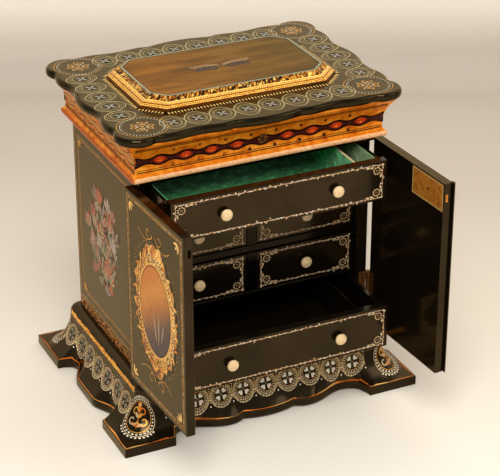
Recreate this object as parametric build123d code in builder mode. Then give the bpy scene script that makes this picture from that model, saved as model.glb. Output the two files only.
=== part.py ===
"""Table-top sewing cabinet in black lacquered papier-mache: a flared plinth, a carcass with six drawers
behind two doors, a coved frieze round a shallow sewing well, and a serpentine lid hinged at the back.
The doors stand open and two drawers are drawn out. Millimetres, +Z up, origin under the plinth's middle."""

from build123d import *
import os
from math import cos, isclose, radians, sin

os.makedirs("parts", exist_ok=True)

# Carcass boards
carcass_width = 256
carcass_depth = 169
side_wall = 11.5
back_wall = 8
bottom_board = 11
top_board = 6.5
door_ledge = 4.5
bottom_row = 47.5
lower_row = 44
upper_row = 44
top_row = 43.5
lower_shelf = 5
middle_shelf = 9.5
upper_shelf = 11
shelf_nosing = 2
nosing_share = 0.4
divider_thickness = 10

# Plinth: a serpentine base board with square feet, and the cove that rises from it to the carcass
plinth_overhang = 38
plinth_height = 60
band_height = 10
apron_lift = 2.5
apron_rebate = 45
front_foot = 55
side_foot = 62
middle_bulge = 9
middle_scallop = 10.4
cusp_depth = 14
front_bulge = 9
front_slope = 14.5
front_recess = 21
front_return = 19.5
scroll_depth = 14
side_bulge = 5.5
side_slope = 11.5
side_recess = 17
cove_inset = 1.2
shoulder_flat = 3
shoulder_reach = 11.5
shoulder_drop = 8
stripe_height = 1.6
cove_hollow = 4.5

# Doors, hung on the front corners and standing open
door_thickness = 9.5
door_gap = 0.5
meeting_gap = 0.8
left_door_open = 87.5
right_door_open = 93
door_edge_round = 1
astragal_width = 7
astragal_rise = 2.6

# Butt hinges of the doors and of the lid
axis_outset = 2.6
leaf_width = 8
leaf_height = 30
leaf_thickness = 1
barrel_radius = 2.25
barrel_clearance = 0.4
pin_radius = 0.9
pin_clearance = 0.05
knuckle_gap = 0.3
door_hinge_inset = 42
lid_hinge_spacing = 150

# Drawers
face_recess = 8.5
front_thickness = 9
front_edge_round = 0.8
drawer_wall = 4
drawer_floor = 3
floor_lift = 1
side_below_front = 4
glue_line = 0.1
side_clearance = 0.5
under_clearance = 0.3
over_clearance = 0.5
drawer_back_clearance = 0.5
top_drawer_out = 66
bottom_drawer_out = 78.5
lining_thickness = 0.8
partition_thickness = 2.5
partition_place = 90
partition_below_side = 1.5

# Turned bone knobs
knob_place = 60
knob_radius = 6
knob_neck = 3
knob_length = 7.8
knob_head = 5.2
knob_crown = 0.8
knob_crown_radius = 3.7
shank_radius = 2
shank_clearance = 0.05

# Frieze round the sewing well
frieze_height = 42.6
frieze_foot_reach = 8
frieze_neck_reach = 5.4
frieze_top_reach = 15
frieze_foot = 5.5
frieze_foot_round = 0.8
frieze_foot_slope = 2.2
frieze_top_fillet = 2.5
frieze_hollow = 3
frieze_inside = 2.5
well_board = 2
well_fit = 0.4
well_divider = 3
well_divider_height = 24
well_long_place = -8
well_cross_place = 42

# Lid: a serpentine board, a raised panel with canted corners, and a lining
lid_gap = 0.4
lid_thickness = 9
lid_overhang = 10
lid_cusp = 5
lid_wave = 4
lid_wave_angle = 17
lid_side_bulge = 0.8
front_lobe_length = 36
side_lobe_length = 34.5
middle_lobe_share = 0.3
front_wave_shares = (0.48, 0.74)
side_wave_shares = (0.27, 0.6)
lobe_inset = 7
cusp_round = 5
lid_edge_round = 3.5
panel_step = 2.2
panel_height = 12
panel_foot_length = 213
panel_foot_width = 126
panel_foot_cant = 20
panel_top_length = 189
panel_top_width = 107
panel_top_cant = 15
lid_lining = 1.5
lid_lining_margin = 3.5

# Locks
lid_lock_width = 40
lid_lock_height = 28
lid_lock_depth = 5
lid_lock_fit = 0.1
link_plate = 1.2
link_plate_length = 30
hook_length = 7
hook_thickness = 2
hook_spacing = 18
hook_drop = 8
hook_clearance = 0.5
escutcheon_width = 8
escutcheon_height = 11
escutcheon_rise = 0.5
escutcheon_below_top = 21
keyhole_radius = 1.4
keyhole_slot = 1.6
keyhole_drop = 3.4
door_lock_length = 54
door_lock_height = 29
door_lock_margin = 1.5
door_lock_plate = 1.2
door_lock_case = 5
case_margin = 4
bolt_height = 8
bolt_thickness = 2.5
bolt_length = 16
bolt_clearance = 0.2
bolt_throw = 4

# Levels and faces that follow from those sizes
half_width = carcass_width / 2
half_depth = (carcass_depth + door_gap + door_thickness) / 2
carcass_front = door_gap + door_thickness - half_depth
inside_half = half_width - side_wall
back_inside = half_depth - back_wall
drawer_face = carcass_front + face_recess
floor_level = plinth_height + bottom_board
lower_shelf_level = floor_level + bottom_row
lower_row_level = lower_shelf_level + lower_shelf
middle_shelf_level = lower_row_level + lower_row
upper_row_level = middle_shelf_level + middle_shelf
upper_shelf_level = upper_row_level + upper_row
top_row_level = upper_shelf_level + upper_shelf
ceiling_level = top_row_level + top_row
frieze_level = ceiling_level + top_board
frieze_top = frieze_level + frieze_height
lid_level = frieze_top + lid_gap
panel_level = lid_level + lid_thickness
plinth_half_width = half_width + plinth_overhang
plinth_half_depth = half_depth + plinth_overhang
foot_x = plinth_half_width - front_foot
foot_y = plinth_half_depth - side_foot
door_bottom = plinth_height + door_ledge + door_gap
door_top = ceiling_level - door_gap
door_axis_x = half_width + axis_outset
door_axis_y = carcass_front - door_gap / 2
door_end = door_axis_x - meeting_gap / 2
door_face = door_gap / 2 + door_thickness
door_hinge_levels = (door_bottom + door_hinge_inset, door_top - door_hinge_inset)
lid_axis_y = half_depth + frieze_top_reach + axis_outset
lid_axis_z = frieze_top + lid_gap / 2
lid_half_width = half_width + frieze_top_reach + lid_overhang
lid_half_depth = half_depth + frieze_top_reach + lid_overhang
front_cusp_outer = lid_half_width - front_lobe_length
front_cusp_inner = front_cusp_outer * middle_lobe_share
side_cusp_outer = lid_half_depth - side_lobe_length
lid_hinge_places = (-lid_hinge_spacing / 2, lid_hinge_spacing / 2)
well_half_width = half_width - frieze_inside
well_half_depth = half_depth - frieze_inside
knuckle = (leaf_height - 2 * knuckle_gap) / 3
outer_knuckles = ((-leaf_height / 2, knuckle - leaf_height / 2), (leaf_height / 2 - knuckle, leaf_height / 2))
middle_knuckle = ((-knuckle / 2, knuckle / 2),)
# Each run of the serpentine: shares of the way from the side's middle to its foot, and how far the edge
# stands back there
front_runs = (
    ((0, middle_bulge), (0.14, middle_scallop), (0.26, cusp_depth)),
    ((0.26, cusp_depth), (0.43, front_bulge), (0.6, front_slope), (0.75, front_recess), (0.88, front_return),
     (0.95, scroll_depth)),
    ((0.95, scroll_depth), (1, 0)),
)
side_runs = (
    ((0, side_bulge), (0.34, side_bulge)),
    ((0.34, side_bulge), (0.55, side_slope), (0.76, side_recess), (0.91, scroll_depth)),
    ((0.91, scroll_depth), (1, 0)),
)
up = Vector(0, 0, 1)
front, back, left, right = Vector(0, -1, 0), Vector(0, 1, 0), Vector(-1, 0, 0), Vector(1, 0, 0)


def save(piece, name):
    """Label a finished piece and write it under its own name."""
    piece.part.label = name
    export_step(piece.part, "parts/" + name + ".step")


def board(x_span, y_span, z_span, mode=Mode.ADD):
    """One straight board between two places on each axis."""
    with Locations((sum(x_span) / 2, sum(y_span) / 2, sum(z_span) / 2)):
        Box(x_span[1] - x_span[0], y_span[1] - y_span[0], z_span[1] - z_span[0], mode=mode)


def section_plane(out, place):
    """An upright plane that cuts a moulding across: x points out of one side of the body, y points up."""
    return Plane(origin=place, x_dir=out, z_dir=out.cross(up))


def plinth_outline():
    """Serpentine plan of the base: the runs of each side, out to the square feet."""
    for runs, reach, spot in (
        (front_runs, foot_x, lambda along, setback: (along, setback - plinth_half_depth)),
        (side_runs, foot_y, lambda along, setback: (plinth_half_width - setback, -along)),
    ):
        for run in runs:
            spots = [spot(share * reach, setback) for share, setback in run]
            if len(spots) > 2:
                Spline(*spots)
            else:
                Line(*spots)
    Polyline((foot_x, -plinth_half_depth), (plinth_half_width, -plinth_half_depth),
             (plinth_half_width, -foot_y))
    mirror(about=Plane.XZ)
    mirror(about=Plane.YZ)


# Base board: serpentine in plan, on four square corner feet, with the aprons between them just off the floor
with BuildPart() as base_board:
    with BuildSketch():
        with BuildLine():
            plinth_outline()
        make_face()
    extrude(amount=band_height)
    apron_ends_y = (plinth_half_depth - apron_rebate, plinth_half_depth)
    apron_ends_x = (plinth_half_width - apron_rebate, plinth_half_width)
    for turn in (-1, 1):
        board((-foot_x, foot_x), sorted((turn * apron_ends_y[0], turn * apron_ends_y[1])),
              (0, apron_lift), Mode.SUBTRACT)
        board(sorted((turn * apron_ends_x[0], turn * apron_ends_x[1])), (-foot_y, foot_y),
              (0, apron_lift), Mode.SUBTRACT)
save(base_board, "base_board")


def cove_section(setback):
    """Section of the plinth's moulding, out from the closed body's face: shoulder, gilt fillet and cove."""
    end = plinth_overhang - cove_inset - setback
    fillet_level = plinth_height - shoulder_drop
    cove_level = fillet_level - stripe_height
    hollow = cove_hollow * (end - shoulder_reach) / (plinth_overhang - cove_inset - shoulder_reach)
    Polyline((end, band_height), (0, band_height), (0, plinth_height), (shoulder_flat, plinth_height))
    TangentArc((shoulder_flat, plinth_height), (shoulder_reach, fillet_level), tangent=(1, 0))
    Line((shoulder_reach, fillet_level), (shoulder_reach, cove_level))
    deepest = ((shoulder_reach + end) / 2 - hollow, (cove_level + band_height) / 2 - hollow)
    ThreePointArc((shoulder_reach, cove_level), deepest, (end, band_height))


# Plinth cove: a quarter is lofted through sections whose foot follows the serpentine, turned at the corner,
# and mirrored to the other three
with BuildPart() as plinth_cove:
    board((0, half_width), (-half_depth, 0), (band_height, plinth_height))
    for out, distance, along, reach, half_length, runs in (
        (front, half_depth, right, foot_x, half_width, front_runs),
        (right, half_width, front, foot_y, half_depth, side_runs),
    ):
        for run in runs:
            for share, setback in run:
                with BuildSketch(section_plane(out, out * distance + along * (share * reach))):
                    with BuildLine():
                        cove_section(setback)
                    make_face()
            loft()
        with BuildSketch(section_plane(out, out * distance + along * reach)):
            with BuildLine():
                cove_section(0)
            make_face()
        extrude(amount=(half_length - reach) * along.dot(out.cross(up)))
    corner = Vector(half_width, -half_depth, 0)
    with BuildSketch(section_plane(front, corner)):
        with BuildLine():
            cove_section(0)
        make_face()
    revolve(axis=Axis(corner, up), revolution_arc=90)
    mirror(about=Plane.YZ)
    mirror(about=Plane.XZ)
save(plinth_cove, "plinth_cove")

# Carcass bottom, with a low ledge in front that the closed doors stand over
with BuildPart() as carcass_bottom:
    board((-half_width, half_width), (carcass_front, half_depth), (plinth_height, floor_level))
    board((-half_width, half_width), (-half_depth, carcass_front),
          (plinth_height, plinth_height + door_ledge))
save(carcass_bottom, "carcass_bottom")

# Carcass top: the floor of the well, reaching forward over the closed doors
with BuildPart() as carcass_top:
    board((-half_width, half_width), (-half_depth, half_depth), (ceiling_level, frieze_level))
save(carcass_top, "carcass_top")

# Carcass back, glued behind the two sides
with BuildPart() as carcass_back:
    board((-half_width, half_width), (back_inside, half_depth), (floor_level, ceiling_level))
save(carcass_back, "carcass_back")

# Carcass sides, each let in at the front edge for two hinge leaves
for side, name in ((-1, "carcass_left_side"), (1, "carcass_right_side")):
    with BuildPart() as carcass_side:
        board(sorted((side * half_width, side * inside_half)), (carcass_front, back_inside),
              (floor_level, ceiling_level))
        for level in door_hinge_levels:
            board(sorted((side * half_width, side * (half_width - leaf_width))),
                  (carcass_front, carcass_front + leaf_thickness),
                  (level - leaf_height / 2, level + leaf_height / 2), Mode.SUBTRACT)
    save(carcass_side, name)

# Shelves between the rows of drawers, with a rounded nosing
for level, thickness, name in (
    (lower_shelf_level, lower_shelf, "shelf_lower"),
    (middle_shelf_level, middle_shelf, "shelf_middle"),
    (upper_shelf_level, upper_shelf, "shelf_upper"),
):
    with BuildPart() as shelf:
        board((-inside_half, inside_half), (drawer_face, back_inside), (level, level + thickness))
        nosing = shelf.faces().sort_by(Axis.Y)[0].edges().filter_by(Axis.X)
        fillet(nosing, min(shelf_nosing, thickness * nosing_share))
    save(shelf, name)

# Two upright dividers, one between each pair of small drawers
with BuildPart() as centre_dividers:
    for level, height in ((lower_row_level, lower_row), (upper_row_level, upper_row)):
        board((-divider_thickness / 2, divider_thickness / 2), (drawer_face, back_inside),
              (level, level + height))
save(centre_dividers, "centre_dividers")


def frieze_section(proud=0):
    """Section of the frieze, out from the closed body's face: foot moulding, cove and top fillet."""
    foot = frieze_foot_reach + proud
    neck = frieze_neck_reach + proud
    top = frieze_top_reach + proud
    foot_level = frieze_level + frieze_foot
    neck_level = foot_level + frieze_foot_slope
    cove_level = frieze_top - frieze_top_fillet
    hollow = ((neck + top) / 2 - frieze_hollow, (neck_level + cove_level) / 2 + frieze_hollow)
    Polyline((top, cove_level), (top, frieze_top), (-frieze_inside, frieze_top),
             (-frieze_inside, frieze_level), (foot, frieze_level))
    ThreePointArc((foot, frieze_level), (foot + frieze_foot_round, frieze_level + frieze_foot / 2),
                  (foot, foot_level))
    Line((foot, foot_level), (neck, neck_level))
    ThreePointArc((neck, neck_level), hollow, (top, cove_level))


def frieze_length(out, distance, half_length):
    """One length of frieze on one side of the body, mitred at both corners."""
    reach = frieze_top_reach + frieze_foot_round
    with BuildSketch(section_plane(out, out * distance)) as section:
        with BuildLine():
            frieze_section()
        make_face()
    extrude(section.sketch, amount=half_length + reach, both=True)
    with BuildSketch(Plane(origin=(0, 0, frieze_level), x_dir=up.cross(out), z_dir=up)) as mitres:
        inner_half = half_length - frieze_inside
        outer_half = half_length + reach
        inner = frieze_inside - distance
        outer = -distance - reach
        Polygon((-inner_half, inner), (inner_half, inner), (outer_half, outer), (-outer_half, outer),
                align=None)
    extrude(mitres.sketch, amount=frieze_height, mode=Mode.INTERSECT)


lock_x = (-lid_lock_width / 2, lid_lock_width / 2)
lock_y = (-well_half_depth - lid_lock_depth, -well_half_depth)
lock_z = (frieze_top - lid_lock_height, frieze_top)
keyhole_plane = Plane(origin=(0, lock_y[0], frieze_top - escutcheon_below_top), x_dir=right, z_dir=front)
keyhole_reach = frieze_top_reach + lid_lock_depth

# Frieze front, let in from behind for the lock and in front for its escutcheon
with BuildPart() as frieze_front:
    frieze_length(front, half_depth, half_width)
    board(lock_x, lock_y, lock_z, Mode.SUBTRACT)
    with BuildSketch(keyhole_plane):
        Ellipse(escutcheon_width / 2, escutcheon_height / 2)
    extrude(amount=keyhole_reach, mode=Mode.SUBTRACT)
save(frieze_front, "frieze_front")

# Frieze back, let in along its top edge for the two lid hinges
with BuildPart() as frieze_back:
    frieze_length(back, half_depth, half_width)
    for place in lid_hinge_places:
        hinge_face = half_depth + frieze_top_reach
        board((place - leaf_height / 2, place + leaf_height / 2), (hinge_face - leaf_width, hinge_face),
              (frieze_top - leaf_thickness, frieze_top), Mode.SUBTRACT)
save(frieze_back, "frieze_back")

for out, name in ((left, "frieze_left"), (right, "frieze_right")):
    with BuildPart() as frieze_side:
        frieze_length(out, half_width, half_depth)
    save(frieze_side, name)

# Well floor: a board covered in velvet paper
with BuildPart() as well_lining:
    board((well_fit - well_half_width, well_half_width - well_fit),
          (well_fit - well_half_depth, well_half_depth - well_fit), (frieze_level, frieze_level + well_board))
save(well_lining, "well_lining")

# Well dividers: one long board and two cross boards that part off three compartments in front
with BuildPart() as well_dividers:
    divider_z = (frieze_level + well_board, frieze_level + well_board + well_divider_height)
    long_y = (well_long_place - well_divider / 2, well_long_place + well_divider / 2)
    board((well_fit - well_half_width, well_half_width - well_fit), long_y, divider_z)
    for place in (-well_cross_place, well_cross_place):
        board((place - well_divider / 2, place + well_divider / 2),
              (well_fit - well_half_depth, long_y[0] - glue_line), divider_z)
save(well_dividers, "well_dividers")

# Lid lock: a brass case in the frieze, with two mouths on top for the link's hooks and a keyhole in front
hook_middle = sum(lock_y) / 2
hook_places = (-hook_spacing / 2, hook_spacing / 2)
with BuildPart() as lid_lock_case:
    board((lock_x[0] + lid_lock_fit, lock_x[1] - lid_lock_fit), (lock_y[0] + lid_lock_fit, lock_y[1]),
          (lock_z[0] + lid_lock_fit, lock_z[1]))
    for place in hook_places:
        mouth = hook_length / 2 + hook_clearance
        throat = hook_thickness / 2 + hook_clearance
        board((place - mouth, place + mouth), (hook_middle - throat, hook_middle + throat),
              (frieze_top - hook_drop - hook_clearance, frieze_top), Mode.SUBTRACT)
    with BuildSketch(keyhole_plane):
        Circle(keyhole_radius)
    extrude(amount=-lid_lock_depth, mode=Mode.SUBTRACT)
save(lid_lock_case, "lid_lock_case")

# Escutcheon: an oval brass plug that follows the cove, a little proud, with a keyhole
with BuildPart() as lid_escutcheon:
    with BuildSketch(section_plane(front, front * half_depth)):
        with BuildLine():
            frieze_section(escutcheon_rise)
        make_face()
    extrude(amount=escutcheon_width, both=True)
    with BuildSketch(keyhole_plane):
        Ellipse(escutcheon_width / 2, escutcheon_height / 2)
    extrude(amount=keyhole_reach, mode=Mode.INTERSECT)
    with BuildSketch(keyhole_plane):
        Circle(keyhole_radius)
        with Locations((0, -keyhole_drop / 2)):
            Rectangle(keyhole_slot, keyhole_drop)
    extrude(amount=keyhole_reach, mode=Mode.SUBTRACT)
save(lid_escutcheon, "lid_escutcheon")


def hinge_leaf(middle, gap, facing, knuckles):
    """One butt hinge leaf on a plane square to the pin: its plate, the tongues beside it and its knuckles."""
    plate_middle = facing * (gap + leaf_thickness) / 2
    with BuildSketch(middle.offset(-leaf_height / 2)) as plate:
        with Locations((axis_outset + leaf_width / 2, plate_middle)):
            Rectangle(leaf_width, leaf_thickness)
    extrude(plate.sketch, amount=leaf_height)
    for low, high in knuckles:
        with BuildSketch(middle.offset(low)) as rolled:
            with Locations((axis_outset / 2, plate_middle)):
                Rectangle(axis_outset, leaf_thickness)
            Circle(barrel_radius)
            Circle(pin_radius + pin_clearance, mode=Mode.SUBTRACT)
        extrude(rolled.sketch, amount=high - low)


def hinge_pin(middle):
    """One hinge pin through all three knuckles."""
    with BuildSketch(middle.offset(-leaf_height / 2)) as pin:
        Circle(pin_radius)
    extrude(pin.sketch, amount=leaf_height)


# Lid hinges: leaves let into the frieze's top edge and into the lid, with the pins just behind the frieze
lid_hinges = [
    Plane(origin=(place, lid_axis_y, lid_axis_z), x_dir=front, z_dir=right) for place in lid_hinge_places
]
with BuildPart() as lid_fixed_leaves:
    for middle in lid_hinges:
        hinge_leaf(middle, lid_gap, 1, outer_knuckles)
save(lid_fixed_leaves, "lid_fixed_leaves")

with BuildPart() as lid_moving_leaves:
    for middle in lid_hinges:
        hinge_leaf(middle, lid_gap, -1, middle_knuckle)
save(lid_moving_leaves, "lid_moving_leaves")

with BuildPart() as lid_hinge_pins:
    for middle in lid_hinges:
        hinge_pin(middle)
save(lid_hinge_pins, "lid_hinge_pins")


def wave(places, heading):
    """A chain of arcs through the places, each leaving in the direction the one before arrived in."""
    for start, end in zip(places, places[1:]):
        bend = TangentArc(start, end, tangent=heading)
        heading = bend % 1


def lid_outline():
    """Plan of the lid: a lobe in the middle of the front, waved runs, and round lobes at the corners."""
    front_inner = (front_cusp_inner, lid_cusp - lid_half_depth)
    front_outer = (front_cusp_outer, lid_cusp - lid_half_depth)
    side_outer = (lid_half_width - lid_cusp, -side_cusp_outer)
    TangentArc((0, -lid_half_depth), front_inner, tangent=(1, 0))
    front_bends = [(share * front_cusp_outer, lid_wave - lid_half_depth) for share in front_wave_shares]
    angle = radians(lid_wave_angle)
    wave([front_inner, *front_bends, front_outer], (cos(angle), -sin(angle)))
    lobe_middle = (lid_half_width - lobe_inset, lobe_inset - lid_half_depth)
    ThreePointArc(front_outer, lobe_middle, side_outer)
    side_bends = [(lid_half_width - lid_wave, -share * side_cusp_outer) for share in side_wave_shares]
    wave([(lid_half_width - lid_side_bulge, 0), *side_bends, side_outer], (0, -1))
    mirror(about=Plane.XZ)
    mirror(about=Plane.YZ)


# Lid board: serpentine, with a rounded edge, let in underneath for its hinges and the lock's link
with BuildPart() as lid_board:
    with BuildSketch(Plane.XY.offset(lid_level)) as lid_plan:
        with BuildLine():
            lid_outline()
        make_face()
        corners = lid_plan.vertices()
        front_cusps = corners.filter_by(lambda corner: isclose(abs(corner.Y), lid_half_depth - lid_cusp))
        side_cusps = corners.filter_by(lambda corner: isclose(abs(corner.X), lid_half_width - lid_cusp))
        fillet(front_cusps + side_cusps, cusp_round)
    extrude(amount=lid_thickness)
    fillet(lid_board.faces().filter_by(Axis.Z).edges(), lid_edge_round)
    for place in lid_hinge_places:
        span = (place - leaf_height / 2, place + leaf_height / 2)
        hinge_face = lid_axis_y - axis_outset
        board(span, (hinge_face - leaf_width, hinge_face), (lid_level, lid_level + leaf_thickness),
              Mode.SUBTRACT)
        board((span[0] - barrel_clearance, span[1] + barrel_clearance),
              (hinge_face, lid_axis_y + barrel_radius + barrel_clearance),
              (lid_level, lid_axis_z + barrel_radius + barrel_clearance), Mode.SUBTRACT)
    board((-link_plate_length / 2, link_plate_length / 2), lock_y,
          (lid_level, lid_level + link_plate), Mode.SUBTRACT)
save(lid_board, "lid_board")

# Raised panel: a low upright step, then sides that lean in to the picture, with canted corners
with BuildPart() as lid_panel:
    with BuildSketch(Plane.XY.offset(panel_level)) as panel_foot:
        Rectangle(panel_foot_length, panel_foot_width)
        chamfer(panel_foot.vertices(), panel_foot_cant)
    extrude(amount=panel_step)
    with BuildSketch(Plane.XY.offset(panel_level + panel_step)) as panel_bevel:
        Rectangle(panel_foot_length, panel_foot_width)
        chamfer(panel_bevel.vertices(), panel_foot_cant)
    with BuildSketch(Plane.XY.offset(panel_level + panel_height)) as panel_top:
        Rectangle(panel_top_length, panel_top_width)
        chamfer(panel_top.vertices(), panel_top_cant)
    loft(ruled=True)
save(lid_panel, "lid_panel")

# Lid lining: a paper-covered board under the lid that drops just inside the well
with BuildPart() as lid_lining_board:
    lining_x = well_half_width - lid_lining_margin
    lining_y = well_half_depth - lid_lining_margin
    board((-lining_x, lining_x), (-lining_y, lining_y), (lid_level - lid_lining, lid_level))
save(lid_lining_board, "lid_lining")

# Lock link: a brass plate let into the lid, with two hooks that drop into the lock
with BuildPart() as lid_lock_link:
    board((-link_plate_length / 2, link_plate_length / 2), lock_y, (lid_level, lid_level + link_plate))
    for place in hook_places:
        board((place - hook_length / 2, place + hook_length / 2),
              (hook_middle - hook_thickness / 2, hook_middle + hook_thickness / 2),
              (frieze_top - hook_drop, lid_level))
save(lid_lock_link, "lid_lock_link")


def door_piece(plan, side, u_span, v_span, z_span, mode=Mode.ADD, corner=0):
    """A straight piece of a door: u runs from the hinge to the free edge, v out through the door's face."""
    with BuildSketch(plan.offset(z_span[0])) as section:
        with Locations((sum(u_span) / 2, side * sum(v_span) / 2)):
            if corner:
                RectangleRounded(u_span[1] - u_span[0], v_span[1] - v_span[0], corner)
            else:
                Rectangle(u_span[1] - u_span[0], v_span[1] - v_span[0])
    extrude(section.sketch, amount=z_span[1] - z_span[0], mode=mode)


lock_end = door_end - door_edge_round
lock_u = (lock_end - door_lock_length, lock_end)
lock_z_span = (door_top - door_lock_margin - door_lock_height, door_top - door_lock_margin)
plate_v = (door_gap / 2, door_gap / 2 + door_lock_plate)
case_u = (lock_u[0] + case_margin, lock_end)
case_v = (plate_v[1], plate_v[1] + door_lock_case)
case_z = (lock_z_span[0] + case_margin, lock_z_span[1] - case_margin)
bolt_middle = (sum(case_v) / 2, sum(case_z) / 2)
bolt_v = (bolt_middle[0] - bolt_thickness / 2, bolt_middle[0] + bolt_thickness / 2)
bolt_z = (bolt_middle[1] - bolt_height / 2, bolt_middle[1] + bolt_height / 2)
bolt_u = (door_end - bolt_clearance - bolt_length, door_end - bolt_clearance)
slot_v = (bolt_v[0] - bolt_clearance, bolt_v[1] + bolt_clearance)
slot_z = (bolt_z[0] - bolt_clearance, bolt_z[1] + bolt_clearance)

# Doors: flat boards with eased edges, their hinges, and the mortise for the bolt in the left door's edge
for side, opening, name in ((-1, left_door_open, "left_door"), (1, right_door_open, "right_door")):
    angle = radians(opening)
    axis_foot = Vector(side * door_axis_x, door_axis_y, 0)
    along = Vector(-side * cos(angle), -sin(angle), 0)
    plan = Plane(origin=axis_foot, x_dir=along, z_dir=up)
    with BuildPart() as door_panel:
        door_piece(plan, side, (axis_outset, door_end), (door_gap / 2, door_face), (door_bottom, door_top),
                   corner=door_edge_round)
        for level in door_hinge_levels:
            door_piece(plan, side, (axis_outset, axis_outset + leaf_width),
                       (door_gap / 2, door_gap / 2 + leaf_thickness),
                       (level - leaf_height / 2, level + leaf_height / 2), Mode.SUBTRACT)
        if side < 0:
            mortise = bolt_throw + bolt_clearance + meeting_gap
            door_piece(plan, side, (door_end - mortise, door_end), slot_v, slot_z, Mode.SUBTRACT)
        else:
            door_piece(plan, side, lock_u, plate_v, lock_z_span, Mode.SUBTRACT)
            door_piece(plan, side, case_u, case_v, case_z, Mode.SUBTRACT)
            door_piece(plan, side, (lock_end, door_end), slot_v, slot_z, Mode.SUBTRACT)
    save(door_panel, name + "_panel")

    with BuildPart() as door_fixed_leaves:
        for level in door_hinge_levels:
            fixed = Plane(origin=axis_foot + up * level, x_dir=(-side, 0, 0), z_dir=up)
            hinge_leaf(fixed, door_gap, -side, outer_knuckles)
    save(door_fixed_leaves, name + "_fixed_leaves")

    with BuildPart() as door_moving_leaves:
        for level in door_hinge_levels:
            hinge_leaf(plan.offset(level), door_gap, side, middle_knuckle)
    save(door_moving_leaves, name + "_moving_leaves")

    with BuildPart() as door_pins:
        for level in door_hinge_levels:
            hinge_pin(plan.offset(level))
    save(door_pins, name + "_pins")

# The rest of the right door follows its own plan, the last one set above
# Astragal: a bead glued to the right door's face that covers the joint between the doors
with BuildPart() as right_door_astragal:
    with BuildSketch(plan.offset(door_bottom)):
        with BuildLine():
            bead_start = (door_end - astragal_width / 2, door_face)
            bead_end = (door_end + astragal_width / 2, door_face)
            ThreePointArc(bead_start, (door_end, door_face + astragal_rise), bead_end)
            Line(bead_end, bead_start)
        make_face()
    extrude(amount=door_top - door_bottom)
save(right_door_astragal, "right_door_astragal")

# Door lock: a brass plate flush with the inner face, with the case behind it and a slot for the bolt
with BuildPart() as right_door_lock:
    door_piece(plan, side, lock_u, plate_v, lock_z_span)
    door_piece(plan, side, case_u, case_v, case_z)
    slot_u = (bolt_u[0] - bolt_clearance, lock_end)
    door_piece(plan, side, slot_u, slot_v, slot_z, Mode.SUBTRACT)
save(right_door_lock, "right_door_lock")

# Lock bolt: slides out of the door's free edge
with BuildPart() as right_door_bolt:
    door_piece(plan, side, bolt_u, bolt_v, bolt_z)
save(right_door_bolt, "right_door_bolt")

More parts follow.
